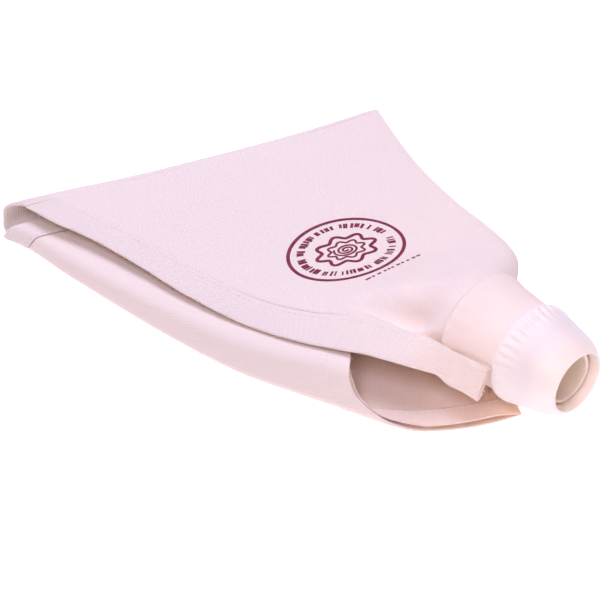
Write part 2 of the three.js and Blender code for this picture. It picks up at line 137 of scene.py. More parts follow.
def turned_points(along, radius, angle):
    """Points about the coupler's raised axis: distance along it, radius and turn."""
    y = radius * np.sin(angle)
    up = radius * np.cos(angle)
    x = along * math.cos(PITCH) - up * math.sin(PITCH)
    z = COUPLER_Z + along * math.sin(PITCH) + up * math.cos(PITCH)
    return np.stack([COUPLER_X + x, COUPLER_Y + y, z], axis=-1)


# -------- mesh building
def new_object(name, points, faces, uvs=None, crease=50):
    """A smooth-shaded mesh from local points, with one UV per face corner."""
    mesh = bpy.data.meshes.new(name)
    mesh.from_pydata(to_scene(points).tolist(), [], faces)
    mesh.validate()
    mesh.shade_smooth()
    mesh.set_sharp_from_angle(angle=math.radians(crease))
    if uvs is not None:
        layer = mesh.uv_layers.new(name="cloth")
        layer.uv.foreach_set("vector", np.asarray(uvs, np.float32).ravel())
    obj = bpy.data.objects.new(name, mesh)
    bpy.context.scene.collection.objects.link(obj)
    return obj


def grid_faces(rows, columns, wrap_rows, wrap_columns):
    """Quads of a grid, each as four (row, column) pairs that don't wrap, for the UVs."""
    last_row = rows if wrap_rows else rows - 1
    last_column = columns if wrap_columns else columns - 1
    i, j = np.meshgrid(np.arange(last_row), np.arange(last_column), indexing="ij")
    i, j = i.ravel(), j.ravel()
    return np.stack([i, j, i, j + 1, i + 1, j + 1, i + 1, j], axis=-1).reshape(-1, 4, 2)


def ring_shell(name, grid, uv=None):
    """A closed shell: grid[i][j], where both i (along and back inside) and j (round) close."""
    rows, columns = grid.shape[:2]
    corners = grid_faces(rows, columns, True, True)
    index = (corners[..., 0] % rows) * columns + corners[..., 1] % columns
    uvs = None
    if uv is not None:
        uvs = uv[corners[..., 0] % rows, corners[..., 1]]
    return new_object(name, grid.reshape(-1, 3), index.tolist(), uvs)


def bar(name, sections, uv):
    """A solid through equal sections, whose points pair up across the ribbon for the caps."""
    rows, columns = sections.shape[:2]
    corners = grid_faces(rows, columns, False, True)
    faces = (corners[..., 0] * columns + corners[..., 1] % columns).tolist()
    uvs = list(uv[corners[..., 0], corners[..., 1]].reshape(-1, 2))
    for at, step in ((0, -1), (rows - 1, 1)):
        for k in range(columns // 2 - 1):
            ring = [k, k + 1, columns - 2 - k, columns - 1 - k][::step]
            faces.append([at * columns + r for r in ring])
            uvs.extend(uv[at, r] for r in ring)
    return new_object(name, sections.reshape(-1, 3), faces, uvs)


def fix_normals(obj):
    """Turns a closed piece's faces outward."""
    bm = bmesh.new()
    bm.from_mesh(obj.data)
    bmesh.ops.recalc_face_normals(bm, faces=bm.faces)
    bm.to_mesh(obj.data)
    bm.free()
    return obj


LIP = 0.12


def with_depth(outer, inner):
    """Outer grid out, a slightly rounded lip, inner grid back: the rows of a closed shell."""
    lip = (outer[-1] + inner[-1]) / 2 + unit(outer[-1] - outer[-2]) * LIP
    return np.concatenate([outer, lip[None], inner[::-1]])


# -------- plan of the two folds
apex = np.array([APEX_X, 0.0])
towards_seam = np.array([-math.cos(HALF_TAPER), -math.sin(HALF_TAPER)])
towards_plain = np.array([-math.cos(HALF_TAPER), math.sin(HALF_TAPER)])
seam_corner = apex + towards_seam * FOLD_TO_APEX_SEAM
plain_corner = apex + towards_plain * FOLD_TO_APEX_PLAIN
fold_along = unit(plain_corner - seam_corner)
fold_inward = np.array([fold_along[1], -fold_along[0]])
FOLD_WIDTH = float(np.linalg.norm(plain_corner - seam_corner))


def reflect(direction):
    return 2 * np.dot(direction, fold_along) * fold_along - direction


MOUTH_SEAM_LENGTH = APEX_TO_MOUTH - FOLD_TO_APEX_SEAM
MOUTH_PLAIN_LENGTH = APEX_TO_MOUTH - FOLD_TO_APEX_PLAIN
mouth_seam_corner = seam_corner + reflect(towards_seam) * MOUTH_SEAM_LENGTH
mouth_plain_corner = plain_corner + reflect(towards_plain) * MOUTH_PLAIN_LENGTH
rim_along = unit(mouth_plain_corner - mouth_seam_corner)
rim_outward = np.array([rim_along[1], -rim_along[0]])


def loop_radius(v):
    return lerp(LOOP_R_SEAM, LOOP_R_PLAIN, v)


def fold_bow(v):
    """The fold line isn't quite straight: how far it runs inward."""
    v = np.clip(v, 0, 1)
    return FOLD_BOW * np.sin(math.pi * v * v) - FOLD_STEP * bump(v, -0.2, 0.08, 0.42)


def fold_start(v):
    v = np.asarray(v, float)[..., None]
    return lerp(seam_corner, plain_corner, v) + fold_inward * (loop_radius(v) + fold_bow(v))


def lens(v):
    """The flat bag's half thickness across its width, blunt at both edges."""
    return HALF_STACK * np.power(np.clip(4 * v * (1 - v), 0, 1), 0.15)


# The seam line, as a share of the width: on the mouth half's start, and on the tip half's.
SEAM_SHARE_LOW = 0.0858
SEAM_SHARE_TOP = 0.13
EDGE_SHARE_TOP = 0.055
CORNER_FLARE = 0.006


def seam_share(rise):
    """The seam line's share, from the bottom of the fold's loop (rise 0) to its top (1)."""
    return lerp(SEAM_SHARE_LOW, SEAM_SHARE_TOP, rise**4)


def edge_share(rise):
    return EDGE_SHARE_TOP * rise**4 - CORNER_FLARE * (1 - float(smooth(rise, 0.3, 0.75)))


# -------- the mouth half
roll_along = np.array([math.cos(ROLL_ANGLE), math.sin(ROLL_ANGLE)])
roll_inward = np.array([-roll_along[1], roll_along[0]])


def roll_radius(l):
    share = np.clip(l / ROLL_LENGTH, 0, 1.1)
    return lerp(ROLL_R_START, ROLL_R_MOUTH, np.power(share, 1.5))


# Where the cloth leaves the table to turn over the roll: distance along the roll, and inward.
ROLL_LINE = [
    [0, -3.3], [6, -3.1], [14, -2.0], [40, -2.6], [71, -3.0], [110, -2.3],
    [134, -0.3], [161, 5.6], [178, 9.8], [193, 13.0], [215, 20], [240, 28],
]


def roll_line(l):
    return curve(ROLL_LINE, l)[..., 0]


def leaf_height(l, inward):
    top = HALF_STACK + 2 * roll_radius(l)
    low = 3 * HALF_STACK + LEAF_GAP
    return lerp(top, low, smooth(inward, 0, LEAF_FALL))


def folded_mouth(flat, h):
    """Flat plan points and heights off the cloth's middle, to folded points.

    The cloth bends up from the table in a tight curve, leans inward, and bends level again."""
    offset = flat - seam_corner
    l = offset @ roll_along
    inward = offset @ roll_inward
    h = np.broadcast_to(h, l.shape)
    r = roll_radius(l)
    low = np.maximum(ROLL_BEND_LOW * r, ROLL_BEND_LEAST)
    top = ROLL_BEND_TOP * r
    lean_cos, lean_sin = math.cos(ROLL_LEAN), math.sin(ROLL_LEAN)
    side = (2 * r - low * (1 - lean_cos) - top * (1 + lean_cos)) / lean_sin
    line = roll_line(l)
    wrapped = line - inward
    after_low = wrapped - low * ROLL_LEAN
    after_side = after_low - side
    in_low = np.clip(wrapped, 0, low * ROLL_LEAN)
    in_side = np.clip(after_low, 0, side)
    in_top = np.clip(after_side, 0, top * (math.pi - ROLL_LEAN))
    beyond = np.maximum(after_side - top * (math.pi - ROLL_LEAN), 0) * LEAF_SHRINK
    first, last = in_low / low, ROLL_LEAN + in_top / top
    turn = first + in_top / top
    across = line - low * np.sin(first) - in_side * lean_cos + top * (lean_sin - np.sin(last))
    across = across + beyond + np.maximum(-wrapped, 0) - h * np.sin(turn)
    z = low * (1 - np.cos(first)) + in_side * lean_sin + top * (lean_cos - np.cos(last))
    drop = np.where(beyond > 0, leaf_height(l, beyond) - leaf_height(l, 0), 0)
    z = HALF_STACK + z - h * np.cos(turn) + drop
    plan = seam_corner + l[..., None] * roll_along + across[..., None] * roll_inward
    return np.concatenate([plan, z[..., None]], axis=-1)


# How far the rim stands out from a straight line, across its width.
RIM_BULGE = [
    [0, 0], [0.3, 5], [0.5, 9.5], [0.6, 11.6], [0.66, 6.9], [0.71, 3.2],
    [0.77, 5.2], [0.84, 8.0], [0.92, 7.2], [0.97, 4.6], [1, 2.4],
]


def mouth_flat(s, v):
    s, v = np.broadcast_arrays(np.asarray(s, float), np.asarray(v, float))
    seam_side = lerp(fold_start(0.0), mouth_seam_corner, s[..., None])
    plain_side = lerp(fold_start(1.0), mouth_plain_corner, s[..., None])
    bulge = curve(RIM_BULGE, v) * (s * s)[..., None]
    bow = (fold_bow(v) * (1 - smooth(s, 0, 0.3)))[..., None]
    return lerp(seam_side, plain_side, v[..., None]) + rim_outward * bulge + fold_inward * bow


mouth_seam_direction = unit(mouth_seam_corner - fold_start(0.0))


def mouth_seam_share(s):
    """The share of the width that the seam allowance takes at station s."""
    across = mouth_flat(s, 1.0) - mouth_flat(s, 0.0)
    reach = np.abs(mouth_seam_direction[0] * across[..., 1] - mouth_seam_direction[1] * across[..., 0])
    return FELL_WIDTH / reach


def mouth_length(v):
    """From the fold to the rim, along the cloth."""
    return lerp(MOUTH_SEAM_LENGTH, MOUTH_PLAIN_LENGTH, v)


# The length of cloth over the roll, in radii, and how much closer together its points lie.
ROLL_WRAP = 2.8
ROLL_DENSITY = 5.0
ROLL_SAMPLES = 600


def across_roll(s, count):
    """Positions across a section, closest together where the cloth turns over the roll."""
    v = (np.arange(ROLL_SAMPLES) + 0.5) / ROLL_SAMPLES
    offset = mouth_flat(s, v) - seam_corner
    l = offset @ roll_along
    turn = (roll_line(l) - offset @ roll_inward) / (ROLL_WRAP * roll_radius(l))
    weight = np.where((turn > -0.2) & (turn < 1.2), ROLL_DENSITY, 1.0)
    weight = np.convolve(np.pad(weight, 15, mode="edge"), np.ones(31) / 31, mode="valid")
    edges = np.concatenate([[0], np.cumsum(weight)]) / weight.sum()
    return np.interp(np.linspace(0, 1, count), edges, np.linspace(0, 1, ROLL_SAMPLES + 1))


HEM_WIDTH = 8.0
HEM_WALL = 1.1
HEM_SLIT = 0.6
RIM_OPENING = 1.1
OPEN_ACROSS = (0.7, 0.955, 1.0)


def mouth_heights(s, v):
    """The four faces of the flattened tube: lower outside and inside, upper inside and outside."""
    to_rim = (1 - s) * mouth_length(v)
    hem = 1 - smooth(to_rim, HEM_WIDTH - 0.6, HEM_WIDTH + 0.6)
    edge = lens(v) / HALF_STACK
    opening = RIM_OPENING * bump(v, *OPEN_ACROSS) * smooth(s, 0.82, 1.0)
    wall = lerp(WALL, HEM_WALL, hem)
    slit = lerp(2 * (HALF_STACK - WALL), HEM_SLIT, hem)
    lower_out = HALF_STACK * edge
    middle = lower_out - (wall + slit / 2) * edge
    lower_in = middle + (slit / 2) * edge
    upper_in = middle - (slit / 2) * edge - 2 * opening
    upper_out = upper_in - wall * edge
    return lower_out, lower_in, upper_in, upper_out


TWILL_TIP = math.radians(16)
TWILL_MOUTH = math.radians(40)
TWILL_FELL = math.radians(4)


def cloth_uv(along, across, twill):
    """Flat cloth lengths in millimetres to UVs: u runs across the twill lines, v along them."""
    u = across * math.cos(twill) - along * math.sin(twill)
    v = across * math.sin(twill) + along * math.cos(twill)
    return np.stack([u, v], axis=-1) * MM


def stations(parts):
    """Positions joined from (from, to, steps) parts."""
    places = [np.linspace(a, b, n, endpoint=False) for a, b, n in parts]
    return np.append(np.concatenate(places), parts[-1][1])


def round_trip(there, back):
    """One section of a flattened tube: out along one wall and back along the other."""
    return np.concatenate([there, back[::-1][1:-1]])


def soft_wave(x, y, scale, seed):
    """A gentle, seeded unevenness of about 1 high."""
    rng = random.Random(seed)
    total = 0.0
    for _ in range(5):
        angle = rng.uniform(0, 2 * math.pi)
        pitch = scale * rng.uniform(0.7, 1.6)
        phase = rng.uniform(0, 2 * math.pi)
        total = total + np.sin((x * math.cos(angle) + y * math.sin(angle)) * 2 * math.pi / pitch + phase)
    return total / 3


MOUTH_STEPS = 220
MOUTH_STATIONS = stations([(0, 0.8, 70), (0.8, 0.925, 14), (0.925, 1.0, 30)])
MOUTH_LENGTH = 150.0
MOUTH_DENTS = 0.16


def mouth_cloth():
    outer, inner, uv = [], [], []
    for s in MOUTH_STATIONS:
        t = across_roll(s, MOUTH_STEPS)
        share = mouth_seam_share(s)
        width = float(np.linalg.norm(mouth_flat(s, 1.0) - mouth_flat(s, 0.0)))
        v = lerp(share, 1.0, t)
        inset = WALL / width
        v_in = lerp(share + inset, 1.0 - inset, t)
        lower_out, lower_in, upper_in, upper_out = mouth_heights(s, t)
        flat_out, flat_in = mouth_flat(s, v), mouth_flat(s, v_in)
        wave = MOUTH_DENTS * soft_wave(flat_out[:, 0], flat_out[:, 1], 34, 5) * np.sin(math.pi * t)
        dip = np.abs(wave)
        below = folded_mouth(flat_out, lower_out - dip)
        outer.append(round_trip(below, folded_mouth(flat_out, upper_out - wave)))
        below = folded_mouth(flat_in, lower_in - dip)
        inner.append(round_trip(below, folded_mouth(flat_in, upper_in - wave)))
        across = np.concatenate([v, (2 - v)[::-1][1:]]) * width
        uv.append(cloth_uv(s * MOUTH_LENGTH, across, TWILL_MOUTH))
    outer, inner, uv = np.array(outer), np.array(inner), np.array(uv)
    grid = with_depth(outer, inner)
    uv = np.concatenate([uv, uv[-1:], uv[::-1]])
    return fix_normals(ring_shell("mouth_cloth", grid, uv))


def paint_roll_shade(obj, look):
    """Gives the cloth's face inside the roll, and the tube's inside, a darker and browner cotton of
    their own: painted shade, because these faces lie in the roll's shadow.
    """
    obj.data.materials.append(look)
    for polygon in obj.data.polygons:
        face_row, face_column = divmod(polygon.index, 2 * MOUTH_STEPS - 2)
        outside = face_row < len(MOUTH_STATIONS) and face_column < MOUTH_STEPS - 1
        polygon.material_index = 0 if outside else 1


# -------- seam allowance strips
def hairpin(width, half, slot, count=9):
    """A folded ribbon's section: distances from its folded edge, and heights."""
    turn = np.linspace(math.pi / 2, -math.pi / 2, 7)[1:-1]
    lays, heights = [], []
    for tip, high in ((half, half), (half + slot, slot)):
        lay = np.linspace(width, tip, count)
        level = np.full(count, high)
        lays.append(np.concatenate([lay, tip - high * np.cos(turn), lay[::-1]]))
        heights.append(np.concatenate([level, high * np.sin(turn), -level]))
    return np.append(lays[0], lays[1][::-1]), np.append(heights[0], heights[1][::-1])


def mouth_fell():
    sections, uv = [], []
    a, h = hairpin(FELL_WIDTH - FELL_GAP, FELL_HALF, FELL_SLOT)
    for s in stations([(0.0, 0.3, 60), (0.3, 1.0, 60)]):
        share = float(mouth_seam_share(s))
        v = lerp(-CORNER_FLARE * (1 - float(smooth(s, 0, 0.25))), share, a / FELL_WIDTH)
        sections.append(folded_mouth(mouth_flat(np.full(v.shape, s), v), h))
        uv.append(cloth_uv(s * MOUTH_SEAM_LENGTH, np.append(a, a[:1]), TWILL_FELL))
    return fix_normals(bar("mouth_fell", np.array(sections), np.array(uv)))


# -------- the fold between the halves
def loop_point(v, turn, h):
    """A point of the fold's loop, which is boxy at the seam's end and round further along."""
    r = loop_radius(v)
    square = lerp(LOOP_SQUARE, 1.0, smooth(v, 0.0, 0.3))
    corner = np.clip((v - 0.972) / 0.028, 0, 1)
    level = np.power(max(math.cos(turn), 0.0), square)
    rise = math.copysign(1, turn) * np.power(abs(math.sin(turn)), square)
    out = (r + h) * level * np.sqrt(1 - 0.8 * corner * corner)
    plan = fold_start(v) - fold_inward * np.asarray(out)[..., None]
    z = HALF_STACK + r + (r + h) * rise
    return np.concatenate([plan, np.asarray(z)[..., None]], axis=-1)


TIP_STEPS = 120
LOOP_SQUARE = 0.5
LOOP_LENGTH_R = 5.0
FELL_GAP_SHARE = 0.0008
LOOP_TURNS = math.pi / 2 * np.sin(np.linspace(-math.pi / 2, math.pi / 2, 41))


def edge_spacing(count):
    """Shares from 0 to 1, closest together at both ends."""
    return (1 - np.cos(np.linspace(0, math.pi, count))) / 2


def fold_cloth():
    t = edge_spacing(TIP_STEPS)
    inset = WALL / FOLD_WIDTH
    outer, inner, uv = [], [], []
    for turn in LOOP_TURNS:
        rise = turn / math.pi + 0.5
        first = seam_share(rise)
        v = lerp(first, 1.0, t)
        v_in = lerp(first + inset, 1.0 - inset, t)
        outer.append(round_trip(loop_point(v, turn, lens(t)), loop_point(v, turn, -lens(t))))
        h = np.maximum(lens(t) - WALL, 0.02)
        inner.append(round_trip(loop_point(v_in, turn, h), loop_point(v_in, turn, -h)))
        across = np.concatenate([v, (2 - v)[::-1][1:]]) * FOLD_WIDTH
        uv.append(cloth_uv(turn * LOOP_LENGTH_R, across, TWILL_TIP))
    uv = np.array(uv)
    grid = np.concatenate([np.array(outer), np.array(inner)[::-1]])
    uv = np.concatenate([uv, uv[::-1]])
    return fix_normals(ring_shell("fold_cloth", grid, uv))


def fold_fell():
    sections, uv = [], []
    a, h = hairpin(FELL_WIDTH - FELL_GAP, FELL_HALF, FELL_SLOT)
    for turn in LOOP_TURNS:
        rise = turn / math.pi + 0.5
        v = lerp(edge_share(rise), seam_share(rise) - FELL_GAP_SHARE, a / (FELL_WIDTH - FELL_GAP))
        sections.append(loop_point(v, turn, h))
        uv.append(cloth_uv(turn * LOOP_LENGTH_R, np.append(a, a[:1]), TWILL_FELL))
    return fix_normals(bar("fold_fell", np.array(sections), np.array(uv)))


# -------- the tip half
def neck_z(x):
    return COUPLER_Z + x * math.tan(PITCH)


# About the coupler, past the crease behind it: position, x, half width and half height.
NECK = [
    [0, -25.2, 19.8, 18.8], [0.1, -23.6, 21.3, 20.2], [0.2, -21.6, 21.5, 20.4],
    [0.35, -17.5, 20.6, 19.6], [0.6, -11.5, 19.8, 19.1], [0.8, -6.0, 19.1, 18.6],
    [1.0, 0.1, 18.9, 18.4],
]
CLOTH_CLEAR = 2.2
crease_x, crease_half, crease_up = NECK[0][1:]
crease_z = neck_z(crease_x)

# The tube's two edges: position, x, y and height of the middle of the cloth.
start_seam = fold_start(SEAM_SHARE_TOP)
start_plain = fold_start(1.0)
start_seam_z = HALF_STACK + 2 * loop_radius(SEAM_SHARE_TOP)
start_plain_z = HALF_STACK + 2 * LOOP_R_PLAIN
SEAM_EDGE = [
    [0, *start_seam, start_seam_z],
    [0.078, -191.6, -64.8, 13.3], [0.295, -152.8, -58.5, 14.0], [0.47, -121.6, -54.7, 14.6],
    [0.62, -94.4, -48.8, 15.6], [0.73, -75.0, -41.2, 18.0], [0.81, -60.9, -34.0, 21.2],
    [0.915, -42.2, -27.0, 23.0],
    [1, COUPLER_X + crease_x, COUPLER_Y - crease_half, crease_z],
]
PLAIN_EDGE = [
    [0, *start_plain, start_plain_z],
    [0.055, -148.4, 68.6, 7.2], [0.306, -116.2, 58.4, 5.8], [0.52, -88.7, 53.6, 5.4],
    [0.732, -61.4, 49.3, 7.4], [0.789, -53.4, 46.2, 9.4], [0.886, -40.6, 38.0, 13.4],
    [0.953, -32.0, 27.5, 17.3],
    [1, COUPLER_X + crease_x, COUPLER_Y + crease_half, crease_z],
]
# How far the upper and lower walls stand off the middle, by position.
ABOVE = [
    [0, HALF_STACK], [0.3, 1.4], [0.6, 2.8], [0.73, 5.0],
    [0.81, 8.3], [0.886, 12.5], [0.953, 17], [1, crease_up],
]
BELOW = [
    [0, HALF_STACK], [0.3, 1.0], [0.55, 1.2], [0.73, 3.0],
    [0.81, 4.6], [0.886, 8], [0.953, 13], [1, crease_z - CLOTH_CLEAR],
]
# The power that a wall's arc is raised to: low is flat across the top, and 1 is round.
ROUNDNESS = [[0, 0.3], [0.3, 0.32], [0.6, 0.5], [0.8, 0.8], [0.92, 0.95], [1, 1]]

# The dip in the upper wall behind the neck, and the crease in it, along and across the tube.
HOLLOW_ALONG = (0.68, 0.92, 1.0)
HOLLOW_ACROSS = (0.06, 0.34)
HOLLOW_SHARE = 0.95
CREASE_ACROSS = (0.0, 0.075, 0.24)
CREASE_DEPTH = 3.4
DENTS_AT_NECK = 0.125
DENTS_AT_FOLD = 0.375


def tip_ring(t, v, side, inset=0.0):
    """side is 1 for the upper wall and -1 for the lower."""
    seam = curve(SEAM_EDGE, t)
    plain = curve(PLAIN_EDGE, t)
    width = float(np.linalg.norm(plain - seam))
    share = lerp(inset / width, 1 - inset / width, v)
    middle = lerp(seam, plain, share[..., None])
    on_fold = lerp(SEAM_SHARE_TOP, 1.0, share)
    bow = fold_bow(on_fold) - lerp(fold_bow(SEAM_SHARE_TOP), fold_bow(1.0), share)
    middle[:, :2] += fold_inward * (bow * (1 - float(smooth(t, 0, 0.4))))[:, None]
    arc = np.sqrt(np.clip(4 * v * (1 - v), 0, 1))
    depth = float(curve(ABOVE if side > 0 else BELOW, t)[0])
    power = float(curve(ROUNDNESS, t)[0])
    lift = np.power(arc, power) * max(depth - inset, 0.02)
    if side > 0:
        hollow = bump(t, *HOLLOW_ALONG)
        lift = lift * (1 - HOLLOW_SHARE * hollow * (1 - smooth(v, *HOLLOW_ACROSS)))
        lift = lift - CREASE_DEPTH * hollow * bump(v, *CREASE_ACROSS)
        dents = lerp(DENTS_AT_FOLD, DENTS_AT_NECK, smooth(t, 0.8, 1.0))
        lift = lift + arc * dents * soft_wave(middle[:, 0], middle[:, 1], 70, 3)
    middle[:, 2] += side * lift
    return middle


def neck_ring(n, v, side, inset=0.0):
    x, across, up = curve(NECK, n)
    turn = np.arccos(1 - 2 * v)
    y = -np.cos(turn) * (across - inset)
    reach = up if side > 0 else min(up, neck_z(x) - CLOTH_CLEAR)
    rise = side * np.sin(turn) * (reach - inset)
    angle = np.arctan2(y, rise)
    pucker = 0.12 * np.sin(angle * 23 + 2.0 * math.sin(n * 5)) * (1 - n) * bump(n, -0.2, 0.2, 1.0)
    rise = rise * (1 + pucker / up)
    z = neck_z(x) + rise * math.cos(PITCH)
    x_at = COUPLER_X + x - rise * math.sin(PITCH)
    return np.stack([x_at, COUPLER_Y + y * (1 + pucker / across), z], axis=-1)


def tip_grid(inset):
    v = edge_spacing(TIP_STEPS)
    rows = []
    for t in stations([(0, 0.6, 60), (0.6, 1.0, 70)])[:-1]:
        rows.append(round_trip(tip_ring(t, v, 1, inset), tip_ring(t, v, -1, inset)))
    for n in stations([(0, 0.3, 12), (0.3, 1, 24)]):
        rows.append(round_trip(neck_ring(n, v, 1, inset), neck_ring(n, v, -1, inset)))
    return np.array(rows)


def tip_cloth():
    outer, inner = tip_grid(0.0), tip_grid(WALL)
    grid = with_depth(outer, inner)
    looped = np.concatenate([outer, outer[:, :1]], axis=1)
    steps = np.linalg.norm(np.diff(looped, axis=1), axis=-1)
    across = np.concatenate([np.zeros((len(outer), 1)), np.cumsum(steps, axis=1)], axis=1)
    across = across[:, TIP_STEPS - 1 : TIP_STEPS] - across
    uv = cloth_uv(looped[..., 0], across, TWILL_TIP)
    uv = np.concatenate([uv, uv[-1:], uv[::-1]])
    return fix_normals(ring_shell("tip_cloth", grid, uv))


# The strip outside the tip half's seam: position, width, and how far it hangs down in degrees.
FELL_HANG = [
    [0, 12.85, 0], [0.1, 12.0, 0], [0.5, 12.5, 3], [0.62, 13.0, 5],
    [0.73, 14.1, 7], [0.81, 15.2, 14], [0.9, 14.4, 16], [0.97, 13.6, 24],
    [1.01, 12.2, 38], [1.04, 11.2, 52], [1.06, 12.9, 58], [1.09, 13.3, 60],
    [1.2, 13.2, 62],
]
# Its inner edge past the seam's end, along the neck: position, x, y and height.
FELL_ROOT = [
    [1.0, -26.6, -22.9, 25.0], [1.047, -18.0, -22.4, 25.4],
    [1.093, -9.5, -21.0, 26.0], [1.138, -1.3, -20.6, 26.4],
]
# Where its cut end is, where its layers start to part, and its half thickness at the end.
FELL_END = 1.138
FELL_LOOSE = 1.05
FELL_HALF_END = 1.15


def fell_half(p):
    """The strip's half thickness, which grows as its layers part."""
    return lerp(FELL_HALF, FELL_HALF_END, float(smooth(p, FELL_LOOSE, FELL_END)))


def fell_root(p):
    """The strip's inner edge at position p: along the seam edge, then along the neck."""
    if p <= 0.9:
        return curve(SEAM_EDGE, p)
    root = [[place, *curve(SEAM_EDGE, place)] for place in (0.81, 0.9)] + FELL_ROOT
    return curve(root, p)


def fell_section(p, a, h):
    """a is the distance from the strip's folded outer edge, and h the height off its middle."""
    root = fell_root(p)
    step = 0.02
    ahead = fell_root(min(p + step, FELL_END))
    behind = fell_root(max(p - step, 0.0))
    heading = unit(ahead - behind)
    width, hang = curve(FELL_HANG, p)
    hang = math.radians(hang)
    side = unit(np.array([heading[1], -heading[0], 0.0]))
    cut = 1 - float(smooth(p, 0, 0.09))
    side = unit(side * (1 - cut) - np.append(fold_along, 0.0) * cut)
    out = side * math.cos(hang) + np.array([0, 0, -1.0]) * math.sin(hang)
    face = unit(np.cross(heading, -out))
    face = face if face[2] > 0 or p > 0.9 else -face
    reach = np.asarray(width - a)
    wave = 0.5 * soft_wave(np.array([root[0]]), np.array([0.0]), 60, 11)[0] * smooth(p, 0.1, 0.6)
    height = np.asarray(h + wave * (reach / width))
    return root + out * reach[..., None] + face * height[..., None]


def tip_fell():
    sections, uv = [], []
    for p in stations([(0, 0.7, 70), (0.7, FELL_END, 90)]):
        width = float(curve(FELL_HANG, p)[0])
        slot = lerp(FELL_SLOT, FELL_SLOT_END, float(smooth(p, FELL_LOOSE, FELL_END)))
        a, h = hairpin(width + 0.2, fell_half(p), slot)
        sections.append(fell_section(p, a, h))
        uv.append(cloth_uv(sections[-1][0, 0], np.append(a, a[:1]), TWILL_FELL))
    return fix_normals(bar("tip_fell", np.array(sections), np.array(uv)))


# -------- sewing
THREAD_R = 0.2
STITCH = 2.6
STITCH_SHARE = 0.78
SEAM_STITCH_IN = 1.6
SEAM_STITCH_SHARE = 0.86


def along_path(rows, pitch):
    """Rows at even steps along a path of rows, with every column interpolated."""
    steps = np.linalg.norm(np.diff(rows, axis=0), axis=1)
    reach = np.concatenate([[0], np.cumsum(steps)])
    places = np.arange(pitch / 2, reach[-1], pitch)
    return np.stack([np.interp(places, reach, column) for column in rows.T], axis=-1)


def tubes(name, runs, looped=(), crease=80):
    """Many small solids, each through an array of rings of points, as one object.

    A run whose number is in looped goes on into its first ring, and the others have flat ends."""
    points, faces = [], []
    for number, run in enumerate(runs):
        count, sides = run.shape[:2]
        base = len(points)
        points.extend(run.reshape(-1, 3))
        spans = count if number in looped else count - 1
        for i in range(spans):
            a, b = base + i * sides, base + (i + 1) % count * sides
            for q in range(sides):
                after = (q + 1) % sides
                faces.append([a + q, a + after, b + after, b + q])
        if spans < count:
            last = base + (count - 1) * sides
            faces.append([base + q for q in range(sides)][::-1])
            faces.append([last + q for q in range(sides)])
    return fix_normals(new_object(name, np.array(points), faces, crease=crease))


def ring_of(middle, first, second, radius, sides):
    """A ring of points about middle, in the plane of two directions."""
    turn = 2 * math.pi * np.arange(sides)[:, None] / sides
    return middle + first * radius * np.cos(turn) + second * radius * np.sin(turn)


def stitches(name, path, normals, sink=0.2):
    """A row of short arched stitches lying on a path, with the surface's normal at each point."""
    packed = along_path(np.concatenate([path, normals], axis=1), STITCH)
    runs = []
    for k in range(1, len(packed) - 1):
        centre = packed[k, :3]
        normal = unit(packed[k, 3:])
        heading = unit(packed[k + 1, :3] - packed[k - 1, :3])
        across = unit(np.cross(heading, normal))
        run = []
        for share in np.linspace(-1, 1, 9):
            arch = (1 - share * share) * THREAD_R * 1.1
            thick = THREAD_R * math.sqrt(max(1 - abs(share) ** 5, 0.02))
            middle = centre + heading * share * STITCH_SHARE * STITCH / 2 + normal * (arch - sink)
            run.append(ring_of(middle, across, normal, thick, 7))
        runs.append(np.array(run))
    return tubes(name, runs)


def tip_stitches():
    places = np.linspace(0.04, FELL_END - 0.01, 260)
    path, beside = [], []
    for p in places:
        width = float(curve(FELL_HANG, p)[0])
        along_seam = width - SEAM_STITCH_IN
        both = fell_section(p, np.array([along_seam, along_seam - 1.0]), fell_half(p))
        path.append(both[0])
        beside.append(both[1])
    path, beside = np.array(path), np.array(beside)
    normals = unit(np.cross(beside - path, np.gradient(path, axis=0)))
    normals[normals[:, 2] < 0] *= -1
    return stitches("tip_seam_stitches", path, normals)


def mouth_stitches():
    s = np.linspace(0.03, 0.97, 240)
    flat = mouth_flat(s, mouth_seam_share(s) * SEAM_STITCH_SHARE)
    path = folded_mouth(flat, FELL_HALF)
    lower = folded_mouth(flat, FELL_HALF - 1.0)
    return stitches("mouth_seam_stitches", path, unit(path - lower))


def hem_stitches():
    """The hem's two runs: round the bag's outside, on its lower wall and on its upper wall."""
    v = np.linspace(0.03, 0.985, 500)
    s = 1 - (HEM_WIDTH - 1.0) / mouth_length(v)
    flat = mouth_flat(s, lerp(mouth_seam_share(s), 1.0, v))
    runs = []
    for name, face, outward in (("hem_stitches", 0, 1.0), ("hem_stitches_inner", 3, -1.0)):
        h = mouth_heights(s, v)[face]
        path = folded_mouth(flat, h)
        normals = unit(path - folded_mouth(flat, h - outward))
        off_table = path[:, 2] > 0.4
        runs.append(stitches(name, path[off_table], normals[off_table]))
    return runs


def fibres(name, rng, roots, longest):
    """Short curling fibres, each from a (start, heading) pair in roots."""
    y, z = np.array([0, 1, 0]), np.array([0, 0, 1])
    runs = []
    for start, heading in roots:
        drift = np.array([rng.uniform(-1, 1), rng.uniform(-1, 1), rng.uniform(-0.6, 0.4)])
        length = rng.uniform(0.35, 1.0) * longest
        run = []
        for share in np.linspace(0, 1, 9):
            middle = start + heading * length * share * 0.6 + drift * length * 0.8 * share * share
            run.append(ring_of(middle, y, z, lerp(0.18, 0.08, share), 5))
        runs.append(np.array(run))
    return tubes(name, runs)


def frayed_threads():
    """A few loose fibres where the seam meets the rim."""
    rng = random.Random(21)
    roots = []
    for _ in range(16):
        share = np.array([rng.uniform(0.632, 0.672)])
        start = folded_mouth(mouth_flat(np.array([0.995]), share), rng.uniform(-0.9, 0.6))[0]
        inside = folded_mouth(mouth_flat(np.array([0.97]), share), 0.0)[0]
        roots.append((start, unit(start - inside)))
    return fibres("frayed_threads", rng, roots, 2.6)


